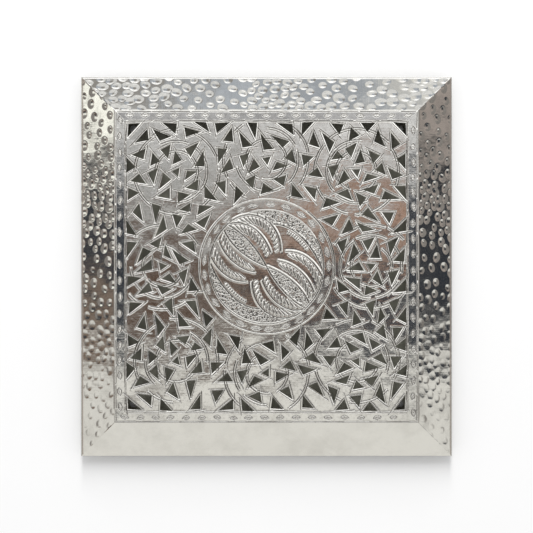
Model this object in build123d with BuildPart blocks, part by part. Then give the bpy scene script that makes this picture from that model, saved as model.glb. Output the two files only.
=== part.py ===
"""Square pierced salver: a raised sheet panel framed by four sloping hammered borders.

The salver lies flat as it is used. +Z is up, Z = 0 is the surface it rests on, and the
origin is below the middle of the panel. The front is -Y. All sizes are in millimetres.
"""
from build123d import *
from math import atan2, cos, dist, hypot, pi, radians, sin, tan
from random import Random
from scipy.spatial import Delaunay
import os

os.makedirs("parts", exist_ok=True)

# Overall outline, and the slope between the outer edge and the raised panel
overall_width = 300.0
overall_depth = 307.0
border_width = 28.9
border_angle = 30.0
skirt_height = 7.0

# Sheet metal
panel_thickness = 1.0
border_thickness = 0.9
base_thickness = 1.0
bend_radius = 2.2
mitre_gap = 0.10

# Panel: plain band outside the piercings, medallion, and piercings
leaf_band_width = 9.1
medallion_radius = 54.5
medallion_margin = 3.2
strap_width = 5.2
hole_inradius_min = 1.5
hole_inradius_max = 2.85
hole_slimness = 0.88
hole_turn = radians(18.0)
whorl_inset = 40.0
whorl_hub_radius = 9.5
whorl_hub_count = 3
whorl_ring_radii = (26.5, 45.0)
whorl_ring_counts = (8, 14)
edge_junction_pitch = 24.0
edge_scatter = 3.0
junction_gap = 16.6
infill_junction_gap = 18.6
infill_step = 3.1
junction_scatter = 1.5
edge_gap_share = 0.62
medallion_gap_share = 0.55
hub_gap_share = 0.9
pattern_seed = 46

# Flanges that the panel and the base plate sit against
panel_flange_width = 7.5
base_flange_width = 11.0
base_plate_inset = 1.2

# Feet, pads and fasteners
foot_height = 6.0
pad_thickness = 1.0
foot_inset = 42.0
foot_top_radius = 9.0
foot_bottom_radius = 8.0
foot_waist_radius = 6.6
pad_radius = 7.2
screw_radius = 1.5
screw_head_radius = 2.75
screw_head_height = 1.8
screw_tip = 1.0
nut_across_flats = 5.5
nut_height = 2.4
rivet_radius = 1.5
rivet_head_radius = 2.9
rivet_head_height = 1.1
rivet_head_taper = 25.0
rivet_tail_radius = 2.3
rivet_tail_height = 0.8
rivet_pitch = 88.0
hole_clearance = 0.10
thread_clearance = 0.05
head_clearance = 0.25

# Heights and reaches that follow from the sizes above
half_width = overall_width / 2
half_depth = overall_depth / 2
slope = tan(radians(border_angle))
base_bottom = foot_height
base_top = base_bottom + base_thickness
shoulder_height = base_top + skirt_height
panel_top = shoulder_height + border_width * slope
panel_bottom = panel_top - panel_thickness
panel_half_width = half_width - border_width
panel_half_depth = half_depth - border_width
panel_edge_run = panel_thickness / slope
field_half_width = panel_half_width - leaf_band_width
field_half_depth = panel_half_depth - leaf_band_width
half_strap = strap_width / 2
foot_x = half_width - foot_inset
foot_y = half_depth - foot_inset
foot_places = {
    "foot_front_left": (-foot_x, -foot_y),
    "foot_front_right": (foot_x, -foot_y),
    "foot_rear_left": (-foot_x, foot_y),
    "foot_rear_right": (foot_x, foot_y),
}


def save(piece, name):
    """Label a finished piece and write it as one STEP file."""
    piece.label = name
    export_step(piece, f"parts/{name}.step")


def ring_of_points(centre, radius, count, phase):
    """Points spread evenly on a circle."""
    angles = [phase + 2 * pi * step / count for step in range(count)]
    return [(centre[0] + radius * cos(a), centre[1] + radius * sin(a)) for a in angles]


def edge_junctions(chance):
    """Strap ends on the rectangle half a strap outside the pierced field."""
    reach_x = field_half_width + half_strap
    reach_y = field_half_depth + half_strap
    columns = round(2 * reach_x / edge_junction_pitch)
    rows = round(2 * reach_y / edge_junction_pitch)
    points = [(sx * reach_x, sy * reach_y) for sx in (-1, 1) for sy in (-1, 1)]
    for column in range(1, columns):
        x = -reach_x + 2 * reach_x * column / columns
        for sy in (-1, 1):
            points.append((x + chance.uniform(-edge_scatter, edge_scatter), sy * reach_y))
    for row in range(1, rows):
        y = -reach_y + 2 * reach_y * row / rows
        for sx in (-1, 1):
            points.append((sx * reach_x, y + chance.uniform(-edge_scatter, edge_scatter)))
    return points


def medallion_junctions():
    """Strap ends on the circle whose chords clear the medallion by its margin."""
    count = round(2 * pi * medallion_radius / edge_junction_pitch)
    radius = (medallion_radius + medallion_margin - half_strap) / cos(pi / count)
    return ring_of_points((0, 0), radius, count, 0)


def whorl_centres():
    """Four corner whorls, then one whorl in the middle of each side."""
    corner_x = field_half_width - whorl_inset
    corner_y = field_half_depth - whorl_inset
    side_x = (field_half_width + medallion_radius) / 2
    side_y = (field_half_depth + medallion_radius) / 2
    corners = [(sx * corner_x, sy * corner_y) for sx in (-1, 1) for sy in (1, -1)]
    sides = [(0, side_y), (0, -side_y), (-side_x, 0), (side_x, 0)]
    return corners + sides


def strap_junctions():
    """Every point where straps meet: edges first, then whorls, then what fills the gaps."""
    chance = Random(pattern_seed)
    junctions = edge_junctions(chance) + medallion_junctions()
    medallion_reach = hypot(*junctions[-1])

    def offer(point, gap):
        inside_x = abs(point[0]) < field_half_width + half_strap - edge_gap_share * gap
        inside_y = abs(point[1]) < field_half_depth + half_strap - edge_gap_share * gap
        outside_medallion = hypot(*point) > medallion_reach + medallion_gap_share * gap
        if inside_x and inside_y and outside_medallion:
            if all(dist(point, other) >= gap for other in junctions):
                junctions.append(point)

    def scattered(point):
        return tuple(c + chance.uniform(-1, 1) * junction_scatter for c in point)

    for centre in whorl_centres():
        hub = ring_of_points(centre, whorl_hub_radius, whorl_hub_count, chance.uniform(0, pi))
        for point in hub:
            offer(point, hub_gap_share * junction_gap)
    for radius, count in zip(whorl_ring_radii, whorl_ring_counts):
        for centre in whorl_centres():
            for point in ring_of_points(centre, radius, count, chance.uniform(0, 1)):
                offer(scattered(point), junction_gap)
    for row in range(round(2 * field_half_depth / infill_step)):
        for column in range(round(2 * field_half_width / infill_step)):
            corner = (column * infill_step - field_half_width, row * infill_step - field_half_depth)
            offer(scattered(corner), infill_junction_gap)
    return junctions


def incircle(corners):
    """Centre and radius of the circle that touches all three sides of a triangle."""
    a, b, c = corners
    sides = (dist(b, c), dist(c, a), dist(a, b))
    around = sum(sides)
    x = sum(side * corner[0] for side, corner in zip(sides, corners)) / around
    y = sum(side * corner[1] for side, corner in zip(sides, corners)) / around
    doubled_area = abs((b[0] - a[0]) * (c[1] - a[1]) - (c[0] - a[0]) * (b[1] - a[1]))
    return (x, y), doubled_area / around


def scaled(corners, centre, factor, turn):
    """Triangle shrunk towards a centre and turned about it."""
    placed = []
    for x, y in corners:
        dx = (x - centre[0]) * factor
        dy = (y - centre[1]) * factor
        placed.append((centre[0] + dx * cos(turn) - dy * sin(turn),
                       centre[1] + dx * sin(turn) + dy * cos(turn)))
    return placed


def slimmed(corners):
    """Triangle with its tip pulled towards its longest side."""
    lengths = [dist(corners[k], corners[(k + 1) % 3]) for k in range(3)]
    first = lengths.index(max(lengths))
    a, b, tip = corners[first], corners[(first + 1) % 3], corners[(first + 2) % 3]
    along = atan2(b[1] - a[1], b[0] - a[0])
    height = (tip[1] - a[1]) * cos(along) - (tip[0] - a[0]) * sin(along)
    drop = height * (1 - hole_slimness)
    return [a, b, (tip[0] + drop * sin(along), tip[1] - drop * cos(along))]


def piercings():
    """Triangular holes between the straps, each turned a little so the straps taper like leaves."""
    junctions = strap_junctions()
    reach_x = field_half_width + half_strap
    reach_y = field_half_depth + half_strap
    holes = []
    for simplex in Delaunay(junctions).simplices:
        corners = [junctions[k] for k in simplex]
        centre, inradius = incircle(corners)
        room = inradius - half_strap
        if hypot(*centre) < medallion_radius + medallion_margin or room <= 0:
            continue
        on_edge = sum(abs(x) >= reach_x or abs(y) >= reach_y for x, y in corners)
        turn = 0 if on_edge > 1 else hole_turn
        hole = slimmed(scaled(corners, centre, room / inradius, turn))
        centre, room = incircle(hole)
        if room >= hole_inradius_min:
            holes.append(scaled(hole, centre, min(1, hole_inradius_max / room), 0))
    return holes


# Pierced panel: flat sheet whose edge carries on the slope of the borders
with BuildPart() as pierced_panel:
    with BuildSketch(Plane.XY.offset(panel_bottom)):
        Rectangle(2 * (panel_half_width + panel_edge_run), 2 * (panel_half_depth + panel_edge_run))
    extrude(amount=panel_thickness, taper=90 - border_angle)
    with BuildSketch(Plane.XY.offset(panel_bottom)):
        add([Polygon(*hole, align=None, mode=Mode.PRIVATE) for hole in piercings()])
    extrude(amount=panel_thickness, mode=Mode.SUBTRACT)
save(pierced_panel.part, "pierced_panel")


def border_strip(reach, half_run):
    """Front border at y = -reach: base flange, skirt, slope and panel flange, mitred at both ends."""
    flange_edge = reach - border_width + panel_edge_run
    outer_face = (
        (-reach + base_flange_width, base_top),
        (-reach, base_top),
        (-reach, shoulder_height),
        (-flange_edge, panel_bottom),
        (-flange_edge + panel_flange_width, panel_bottom),
    )
    with BuildPart() as strip:
        with BuildSketch(Plane.YZ):
            with BuildLine():
                FilletPolyline(*outer_face, radius=bend_radius)
                offset(amount=border_thickness, side=Side.RIGHT)
            make_face()
        extrude(amount=half_run, both=True)
        for end in (-1, 1):
            corner = (end * (half_run - mitre_gap), -reach, 0)
            split(bisect_by=Plane(origin=corner, z_dir=(-end, -1, 0)), keep=Keep.TOP)
        with BuildSketch(Plane.XY.offset(base_top)):
            with Locations((0, -reach + base_flange_width / 2)):
                with GridLocations(rivet_pitch, 0, 3, 1):
                    Circle(rivet_radius + hole_clearance)
        extrude(amount=border_thickness, mode=Mode.SUBTRACT)
    return strip.part


# Borders: one strip for each side, turned about the middle of the salver
with BuildPart() as border_front:
    add(border_strip(half_depth, half_width))
save(border_front.part, "border_front")

with BuildPart() as border_rear:
    add(border_strip(half_depth, half_width).rotate(Axis.Z, 180))
save(border_rear.part, "border_rear")

with BuildPart() as border_left:
    add(border_strip(half_width, half_depth).rotate(Axis.Z, -90))
save(border_left.part, "border_left")

with BuildPart() as border_right:
    add(border_strip(half_width, half_depth).rotate(Axis.Z, 90))
save(border_right.part, "border_right")


def rivet_places():
    """Three rivets along the middle of each border's base flange."""
    rivet_x = half_width - base_flange_width / 2
    rivet_y = half_depth - base_flange_width / 2
    along = (-rivet_pitch, 0, rivet_pitch)
    across = [(place, side * rivet_y) for side in (-1, 1) for place in along]
    down = [(side * rivet_x, place) for side in (-1, 1) for place in along]
    return across + down


# Base plate: closes the back and carries the feet
with BuildPart() as base_plate:
    with BuildSketch(Plane.XY.offset(base_bottom)):
        Rectangle(2 * (half_width - base_plate_inset), 2 * (half_depth - base_plate_inset))
        with Locations(*rivet_places()):
            Circle(rivet_radius + hole_clearance, mode=Mode.SUBTRACT)
        with Locations(*foot_places.values()):
            Circle(screw_radius + hole_clearance, mode=Mode.SUBTRACT)
    extrude(amount=base_thickness)
save(base_plate.part, "base_plate")

# Rivets: domed head under the plate, shank through plate and flange, formed tail inside
flange_top = base_top + border_thickness
with BuildPart() as base_rivets:
    with BuildSketch(Plane.XY.offset(base_bottom)):
        with Locations(*rivet_places()):
            Circle(rivet_head_radius)
    extrude(amount=-rivet_head_height, taper=rivet_head_taper)
    with BuildSketch(Plane.XY.offset(base_bottom)):
        with Locations(*rivet_places()):
            Circle(rivet_radius)
    extrude(amount=flange_top - base_bottom)
    with BuildSketch(Plane.XY.offset(flange_top)):
        with Locations(*rivet_places()):
            Circle(rivet_tail_radius)
    extrude(amount=rivet_tail_height)
save(base_rivets.part, "base_rivets")

# Feet: turned buttons with a waist and a counterbore that hides the screw head
counterbore_top = pad_thickness + screw_head_height + head_clearance
for foot_name, place in foot_places.items():
    with BuildPart() as foot:
        with BuildSketch(Plane.XZ):
            with BuildLine():
                Polyline((0, pad_thickness), (foot_bottom_radius, pad_thickness))
                ThreePointArc(
                    (foot_bottom_radius, pad_thickness),
                    (foot_waist_radius, (pad_thickness + foot_height) / 2),
                    (foot_top_radius, foot_height),
                )
                Polyline((foot_top_radius, foot_height), (0, foot_height), (0, pad_thickness))
            make_face()
        revolve(axis=Axis.Z)
        with BuildSketch(Plane.XY.offset(pad_thickness)):
            Circle(screw_radius + hole_clearance)
        extrude(amount=foot_height - pad_thickness, mode=Mode.SUBTRACT)
        with BuildSketch(Plane.XY.offset(pad_thickness)):
            Circle(screw_head_radius + head_clearance)
        extrude(amount=counterbore_top - pad_thickness, mode=Mode.SUBTRACT)
    save(foot.part.translate((*place, 0)), foot_name)

# Pads: soft discs glued over the counterbores, the only pieces that touch the table
with BuildPart() as foot_pads:
    with BuildSketch(Plane.XY):
        with Locations(*foot_places.values()):
            Circle(pad_radius)
    extrude(amount=pad_thickness)
save(foot_pads.part, "foot_pads")

# Screws: flat head in the counterbore, shank up through the foot, the plate and the nut
screw_top = base_top + nut_height + screw_tip
with BuildPart() as foot_screws:
    with BuildSketch(Plane.XY.offset(counterbore_top)):
        with Locations(*foot_places.values()):
            Circle(screw_head_radius)
    extrude(amount=-screw_head_height)
    with BuildSketch(Plane.XY.offset(counterbore_top)):
        with Locations(*foot_places.values()):
            Circle(screw_radius)
    extrude(amount=screw_top - counterbore_top)
save(foot_screws.part, "foot_screws")

# Nuts: one on each screw, against the inside of the base plate
with BuildPart() as foot_nuts:
    with BuildSketch(Plane.XY.offset(base_top)):
        with Locations(*foot_places.values()):
            RegularPolygon(nut_across_flats / 2, 6, major_radius=False)
            Circle(screw_radius + thread_clearance, mode=Mode.SUBTRACT)
    extrude(amount=nut_height)
save(foot_nuts.part, "foot_nuts")
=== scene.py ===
"""Square pierced salver: the worked silver surfaces, made over the fixed frame.

Shapes are worked out in millimetres, in the frame's own axes: +X right, +Y to the rear, +Z up.
"""

import bpy
import numpy as np
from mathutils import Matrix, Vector, geometry


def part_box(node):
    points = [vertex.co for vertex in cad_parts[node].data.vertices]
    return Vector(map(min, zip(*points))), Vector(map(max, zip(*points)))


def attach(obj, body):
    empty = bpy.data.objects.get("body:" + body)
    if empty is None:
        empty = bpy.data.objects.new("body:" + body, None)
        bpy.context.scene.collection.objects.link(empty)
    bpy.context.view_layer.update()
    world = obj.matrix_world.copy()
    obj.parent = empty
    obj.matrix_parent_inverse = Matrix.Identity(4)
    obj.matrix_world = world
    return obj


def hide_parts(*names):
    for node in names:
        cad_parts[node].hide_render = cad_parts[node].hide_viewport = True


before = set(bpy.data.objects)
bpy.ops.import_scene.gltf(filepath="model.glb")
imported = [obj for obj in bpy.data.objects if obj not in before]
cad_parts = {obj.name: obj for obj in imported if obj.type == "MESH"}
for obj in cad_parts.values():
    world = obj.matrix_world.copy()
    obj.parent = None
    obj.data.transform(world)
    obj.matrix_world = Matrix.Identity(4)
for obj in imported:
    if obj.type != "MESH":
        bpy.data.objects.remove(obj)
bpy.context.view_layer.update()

bl_info = {
    "name": "Pierced salver",
    "version": (1, 0, 0),
    "blender": (4, 5, 0),
    "location": "View3D > Sidebar > Salver",
    "description": "Makes the worked surfaces, finishes and studio of a square pierced salver",
    "category": "Object",
}

MM = 0.001

# Mesh and grid spacings, in millimetres.
HOLE_EDGE_SPACING = 0.6
SEAM_SPACING = 0.38
PANEL_GRID = 0.14
HAMMER_GRID = 0.25
UNDERSIDE_SPACING = 7.0

# The fold between panel and border: how far from it relief dies out, and how far it sinks.
FOLD_EASE = 1.0
FOLD_DROP = 0.13

# The panel sheet: height and wavelength of its unevenness, and the rims of its piercings.
SHEET_WAVES = ((0.032, 26.0), (0.006, 9.0), (0.0022, 2.4))
RIM_DROP, RIM_WIDTH = 0.21, 0.64

# Chased lines: widths, and the ridges thrown up beside them as height and width.
LINE_WIDTH = 0.60
RING_LINE_WIDTH = 0.66
CURVE_LINE_WIDTH = 0.72
WHORL_RIDGE = (0.14, 1.2)
BAND_RIDGE = (0.07, 0.8)
RING_RIDGE = (0.08, 0.9)
CURVE_RIDGE = (0.15, 1.15)
STROKE_RIDGE = (0.17, 1.5)

# Where things lie on the panel: the band's second ruled line, and the whorls' rings and corners.
SECOND_LINE = 0.9
WHORL_RINGS = (17.0, 25.5, 34.5)
WHORL_INSET = 40.0

# Leaf punch marks, as ranges of length and width.
BAND_LEAF = ((5.6, 6.8), (2.8, 3.5))
RING_LEAF = ((7.2, 8.8), (3.2, 4.0))
RING_LEAVES = 25

# The medallion's feathered curves: lean, first and last stroke length, and number of strokes.
FEATHERS = {
    "frond_low": (0.80, 9.0, 3.6, 12),
    "frond_high": (0.85, 8.5, 3.6, 15),
    "wing_high": (0.62, 6.5, 7.5, 10),
    "wing_low": (0.62, 6.5, 7.5, 11),
    "fringe": (1.45, 2.6, 2.6, 11),
}

# The borders' sheet and flanges.
BORDER_SHEET = 0.85
PANEL_FLANGE = 6.5
BASE_FLANGE = 11.0
LOW_BEND_RADIUS = 2.2
FLANGE_CLEARANCE = 0.01
MITRE_GAP = 0.05

# Each border, in quarter turns from the front: the axis it lies across, the growth of its hammer
# marks, and which way along it the front of the salver lies, where its marks are shallower.
BORDERS = (("border_front", 1, 1.0, 0), ("border_right", 0, 1.0, -1),
           ("border_rear", 1, 1.2, 0), ("border_left", 0, 1.0, 1))


# ---------------------------------------------------------------- sizes read from the frame

def node_corners(node):
    """Lowest and highest corner of a CAD node, in millimetres."""
    low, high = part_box(node)
    return np.array(low) / MM, np.array(high) / MM


def node_mesh(node):
    """Corner places in millimetres and triangles of a CAD node."""
    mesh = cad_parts[node].data
    places = np.empty(len(mesh.vertices) * 3)
    mesh.vertices.foreach_get("co", places)
    mesh.calc_loop_triangles()
    triangles = np.empty(len(mesh.loop_triangles) * 3, np.int32)
    mesh.loop_triangles.foreach_get("vertices", triangles)
    return places.reshape(-1, 3) / MM, triangles.reshape(-1, 3)


# Levels and half widths of the object, in millimetres. The fold is where panel meets border.
panel_low, panel_high = node_corners("pierced_panel")
panel_places, panel_triangles = node_mesh("pierced_panel")
PANEL_TOP = panel_high[2]
PANEL_BOTTOM = panel_low[2]
OUTER = np.array([node_corners("border_right")[1][0], node_corners("border_rear")[1][1]])
on_top = panel_places[:, 2] > PANEL_TOP - 0.01
FOLD = np.abs(panel_places[on_top, :2]).max(axis=0)
SLOPE = (PANEL_TOP - PANEL_BOTTOM) / (panel_high[0] - FOLD[0])
BORDER_WIDTH = OUTER[0] - FOLD[0]
BORDER_BOTTOM = node_corners("border_front")[0][2]
SHOULDER = PANEL_TOP - BORDER_WIDTH * SLOPE


def read_piercings():
    """The triangular holes of the panel, each as three corners in plan, anticlockwise.

    The walls of a hole are the upright faces inside the fold. Their top edges, joined end to
    end, give its outline.
    """
    corners = panel_places[panel_triangles]
    normals = np.cross(corners[:, 1] - corners[:, 0], corners[:, 2] - corners[:, 0])
    lengths = np.linalg.norm(normals, axis=1)
    upright = np.abs(normals[:, 2]) < 1e-3 * lengths
    inside = (np.abs(corners[:, :, :2]) < FOLD - 1.0).all(axis=(1, 2))
    neighbours = {}
    for triangle in corners[upright & inside]:
        top = triangle[triangle[:, 2] > PANEL_TOP - 0.01]
        if len(top) == 2:
            first, second = (tuple(np.round(point[:2], 3)) for point in top)
            neighbours.setdefault(first, set()).add(second)
            neighbours.setdefault(second, set()).add(first)
    holes = []
    while neighbours:
        start = next(iter(neighbours))
        outline = [start]
        while neighbours.get(outline[-1]):
            step = neighbours[outline[-1]].pop()
            neighbours[step].discard(outline[-1])
            outline.append(step)
        for point in outline:
            neighbours.pop(point, None)
        hole = np.array(outline[:3])
        side_a, side_b = hole[1] - hole[0], hole[2] - hole[0]
        if side_a[0] * side_b[1] - side_a[1] * side_b[0] < 0:
            hole = hole[::-1]
        holes.append(hole)
    return sorted(holes, key=lambda hole: tuple(hole.mean(axis=0)))


HOLES = read_piercings()


# ---------------------------------------------------------------- what a user would change

class SalverSizes(bpy.types.PropertyGroup):
    """Sizes of the worked surfaces, in metres."""

    leaf_band_width: bpy.props.FloatProperty(
        name="Leaf band width", description="Plain band between the fold and the piercings",
        default=9.1 * MM, unit="LENGTH")
    medallion_radius: bpy.props.FloatProperty(
        name="Medallion radius", description="Outer chased circle of the medallion",
        default=54.5 * MM, unit="LENGTH")
    medallion_ring: bpy.props.FloatProperty(
        name="Medallion ring", description="Width of the ring of leaf punch marks",
        default=8.8 * MM, unit="LENGTH")
    relief_allowance: bpy.props.FloatProperty(
        name="Relief allowance", description="How far the plain sheet lies below its highest relief",
        default=0.30 * MM, unit="LENGTH")
    band_fall: bpy.props.FloatProperty(
        name="Band fall", description="How far the leaf band drops from the piercings to the fold",
        default=0.45 * MM, unit="LENGTH")
    panel_spacing: bpy.props.FloatProperty(
        name="Panel spacing", description="Distance between mesh points on the panel",
        default=0.295 * MM, unit="LENGTH")
    border_spacing: bpy.props.FloatProperty(
        name="Border spacing", description="Distance between mesh points on the borders",
        default=0.48 * MM, unit="LENGTH")
    hammer_mark: bpy.props.FloatProperty(
        name="Hammer mark", description="Mean length of one hammer mark",
        default=7.2 * MM, unit="LENGTH")
    hammer_depth: bpy.props.FloatProperty(
        name="Hammer depth", description="Depth of a hammer mark",
        default=0.26 * MM, unit="LENGTH")
    chase_depth: bpy.props.FloatProperty(
        name="Chasing depth", description="Depth of a chased line",
        default=0.22 * MM, unit="LENGTH")
    bend_radius: bpy.props.FloatProperty(
        name="Bend radius", description="Outside radius where the border turns down into the skirt",
        default=4.4 * MM, unit="LENGTH")


class SalverColours(bpy.types.PropertyGroup):
    """Colours of the finishes and of the studio."""

    silver: bpy.props.FloatVectorProperty(
        name="Silver", description="Polished plate", subtype="COLOR", size=3, min=0, max=1,
        default=(0.90, 0.89, 0.86))
    # Tarnish tone for the random clouds and grain. Darkened to 0.28 of it, it is also the painted shade in
    # the chased grooves and stipple pits.
    tarnish_and_groove_shade: bpy.props.FloatVectorProperty(
        name="Tarnish", description="Plate gone warm in the hollows", subtype="COLOR", size=3,
        min=0, max=1, default=(0.22, 0.20, 0.175))
    base_metal: bpy.props.FloatVectorProperty(
        name="Base metal", description="Unpolished back plate", subtype="COLOR", size=3,
        min=0, max=1, default=(0.34, 0.335, 0.28))
    felt: bpy.props.FloatVectorProperty(
        name="Felt", description="Foot pads", subtype="COLOR", size=3, min=0, max=1,
        default=(0.030, 0.045, 0.035))
    floor: bpy.props.FloatVectorProperty(
        name="Floor", description="Studio floor", subtype="COLOR", size=3, min=0, max=1,
        default=(0.90, 0.90, 0.90))


def sizes(name):
    """A size of the sidebar panel, in millimetres."""
    return getattr(bpy.context.scene.salver_sizes, name) / MM


# ---------------------------------------------------------------- relief: height maps

def smooth_noise(shape, step, wavelength, seed):
    """Even random field of unit spread: white noise kept only below one spatial frequency."""
    chance = np.random.default_rng(seed)
    field = np.fft.rfft2(chance.standard_normal(shape))
    across = np.fft.rfftfreq(shape[1], step)[None, :]
    down = np.fft.fftfreq(shape[0], step)[:, None]
    field *= np.exp(-((across**2 + down**2) * wavelength**2))
    noise = np.fft.irfft2(field, shape)
    return noise / noise.std()


def soften(field, step, length):
    """Field blurred by a bell curve of that spread."""
    across = np.fft.rfftfreq(field.shape[1], step)[None, :]
    down = np.fft.fftfreq(field.shape[0], step)[:, None]
    blur = np.exp(-2 * (np.pi * length) ** 2 * (across**2 + down**2))
    return np.fft.irfft2(np.fft.rfft2(field) * blur, field.shape)


def segment_reach(x, y, first, last):
    """Distance from each point to one straight stretch, and how far along it the nearest point is."""
    along = last - first
    share = ((x - first[0]) * along[0] + (y - first[1]) * along[1]) / max(along @ along, 1e-9)
    share = np.clip(share, 0, 1)
    return np.hypot(x - first[0] - share * along[0], y - first[1] - share * along[1]), share


def own_axes(x, y, centre, angle):
    """Places measured from a centre, along a direction and across it."""
    right, up = x - centre[0], y - centre[1]
    c, s = np.cos(angle), np.sin(angle)
    return right * c + up * s, up * c - right * s


def chased_profile(distance, width):
    """Across a chased line: a bell-shaped groove of unit depth and a low bell-shaped burr beside it."""
    groove = -np.exp(-((distance / (0.5 * width)) ** 2))
    burr = 0.10 * np.exp(-(((distance - 0.95 * width) / (0.36 * width)) ** 2))
    return groove + burr


class Relief:
    """Heights in millimetres on an even grid about the origin, with chasing tools that mark them."""

    def __init__(self, reach_x, reach_y, step):
        self.step = step
        self.x = np.arange(-round(reach_x / step), round(reach_x / step) + 1) * step
        self.y = np.arange(-round(reach_y / step), round(reach_y / step) + 1) * step
        self.height = np.zeros((len(self.y), len(self.x)))
        self.pit_shade = 0.0

    def grid(self):
        """Every grid place, as two arrays."""
        return np.meshgrid(self.x, self.y)

    def window(self, low, high):
        """Slices of the grid that cover a box, and the places in it."""
        first = np.floor((np.array(low) - [self.x[0], self.y[0]]) / self.step).astype(int)
        last = np.ceil((np.array(high) - [self.x[0], self.y[0]]) / self.step).astype(int) + 1
        columns = slice(max(first[0], 0), max(last[0], 0))
        rows = slice(max(first[1], 0), max(last[1], 0))
        return rows, columns, self.x[columns][None, :], self.y[rows][:, None]

    def chase(self, path, depth, width, fade=0.0):
        """One chased line along a path. fade is the length over which each end dies out."""
        path = np.asarray(path, float)
        margin = 2.2 * width
        rows, columns, x, y = self.window(path.min(axis=0) - margin, path.max(axis=0) + margin)
        lengths = np.hypot(*np.diff(path, axis=0).T)
        starts = np.concatenate(([0.0], np.cumsum(lengths)))
        nearest = np.full((y.shape[0], x.shape[1]), 1e3)
        place = np.zeros_like(nearest)
        for k, length in enumerate(lengths):
            distance, share = segment_reach(x, y, path[k], path[k + 1])
            closer = distance < nearest
            nearest = np.where(closer, distance, nearest)
            place = np.where(closer, starts[k] + share * length, place)
        strength = 1.0
        if fade:
            from_end = np.minimum(place, starts[-1] - place)
            strength = np.clip((from_end + 0.15 * fade) / fade, 0, 1)
        self.height[rows, columns] += depth * strength * chased_profile(nearest, width)

    def leaf_punch(self, centre, angle, length, width, depth):
        """A leaf punch mark: a raised lens inside a sunk outline, with a midrib and veins.

        In leaf axes (u along, v across) the lens half-width is w(u) = W (1 - (2u / L)^2).
        """
        reach = 0.75 * length
        rows, columns, x, y = self.window(np.array(centre) - reach, np.array(centre) + reach)
        u, v = own_axes(x, y, centre, angle)
        taper = np.clip(1 - (2 * u / length) ** 2, -1, 1)
        side = np.abs(v) - 0.5 * width * np.maximum(taper, 0)
        beyond = np.maximum(np.abs(u) - 0.5 * length, 0)
        outline = np.hypot(np.maximum(side, 0), beyond) + np.maximum(-side, 0) * (beyond == 0)
        mark = chased_profile(outline, 0.42) * depth
        inside = (side < -0.40) & (taper > 0)
        veins = np.maximum(np.cos(2 * np.pi * (np.abs(v) * 0.9 + u) / 1.9) - 0.2, 0)
        rib = np.exp(-((v / 0.24) ** 2))
        mark -= np.where(inside, depth * (0.28 * veins + 0.36 * rib), 0)
        self.height[rows, columns] += mark

    def raised_line(self, path, height, width):
        """A rounded ridge along a path, thrown up beside a chased line."""
        self.chase(path, -height, width, fade=1.0)

    def stipple(self, inside, depth, seed):
        """Close random punch dots, each a small pit, wherever the mask is set; the deeper dots also get
        painted shade.
        """
        dots = smooth_noise(self.height.shape, self.step, 1.2, seed)
        self.height -= np.where(inside, depth * np.clip(dots - 0.1, -0.6, 1.2), 0)
        # Painted shade for the dots, kept with the shade of the grooves.
        self.pit_shade = np.where(inside, np.clip((dots - 0.1) / 0.9, 0, 0.85), 0)

    def finish(self, rims=0.0):
        """Keep the slopes, and a mask of painted shade for the hollows, once every mark is made.

        rims are added last, for they are bright and wide and get no painted shade.
        """
        around = soften(self.height, self.step, 0.7)
        # Painted shade: places sunk below their softened surroundings, the bottoms of chased lines, are
        # marked to be darkened.
        self.hollow_shade = np.clip((around - self.height - 0.028) / 0.055, 0, 1)
        self.hollow_shade = np.maximum(self.hollow_shade, self.pit_shade)
        self.height = self.height + rims
        self.slope_y, self.slope_x = np.gradient(self.height, self.step)
        crisp = np.abs(self.height - soften(self.height, self.step, 0.45)) > 0.007
        self.detailed = soften(crisp.astype(float), self.step, 0.22) > 0.10

    def at(self, field, x, y):
        """A field's value at the grid place nearest to each place."""
        column = np.clip(np.rint((x - self.x[0]) / self.step).astype(int), 0, len(self.x) - 1)
        row = np.clip(np.rint((y - self.y[0]) / self.step).astype(int), 0, len(self.y) - 1)
        return field[row, column]

    def read(self, x, y):
        """Height and both slopes at any places, straight-line between grid places."""
        column = np.clip((x - self.x[0]) / self.step, 0, len(self.x) - 1.001)
        row = np.clip((y - self.y[0]) / self.step, 0, len(self.y) - 1.001)
        c0, r0 = column.astype(int), row.astype(int)
        fx, fy = column - c0, row - r0
        corners = ((r0, c0, (1 - fx) * (1 - fy)), (r0, c0 + 1, fx * (1 - fy)),
                   (r0 + 1, c0, (1 - fx) * fy), (r0 + 1, c0 + 1, fx * fy))
        return [sum(weight * field[r, c] for r, c, weight in corners)
                for field in (self.height, self.slope_x, self.slope_y)]


# ---------------------------------------------------------------- outlines and curves

def arc(centre, radius, first, last, spacing=1.0):
    """Points on a circle between two angles."""
    count = max(int(abs(last - first) * radius / spacing), 2)
    angles = np.linspace(first, last, count + 1)
    return np.stack([centre[0] + radius * np.cos(angles), centre[1] + radius * np.sin(angles)], 1)


def bow(first, towards, from_there, last, count=26):
    """Cubic curve from first to last, pulled by two points between them."""
    t = np.linspace(0, 1, count)[:, None]
    points = [np.array(p, float) for p in (first, towards, from_there, last)]
    weights = ((1 - t) ** 3, 3 * t * (1 - t) ** 2, 3 * t**2 * (1 - t), t**3)
    return sum(weight * point for weight, point in zip(weights, points))


def stretched(path, spacing):
    """Open path with its straight stretches cut evenly, both ends kept."""
    pieces = []
    for first, last in zip(path[:-1], path[1:]):
        count = max(int(np.ceil(np.hypot(*(last - first)) / spacing)), 1)
        share = np.arange(count)[:, None] / count
        pieces.append(first + share * (last - first))
    return np.concatenate(pieces + [path[-1:]])


def divided(outline, spacing):
    """Closed outline with its straight sides cut evenly."""
    return stretched(np.concatenate([outline, outline[:1]]), spacing)[:-1]


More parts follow.
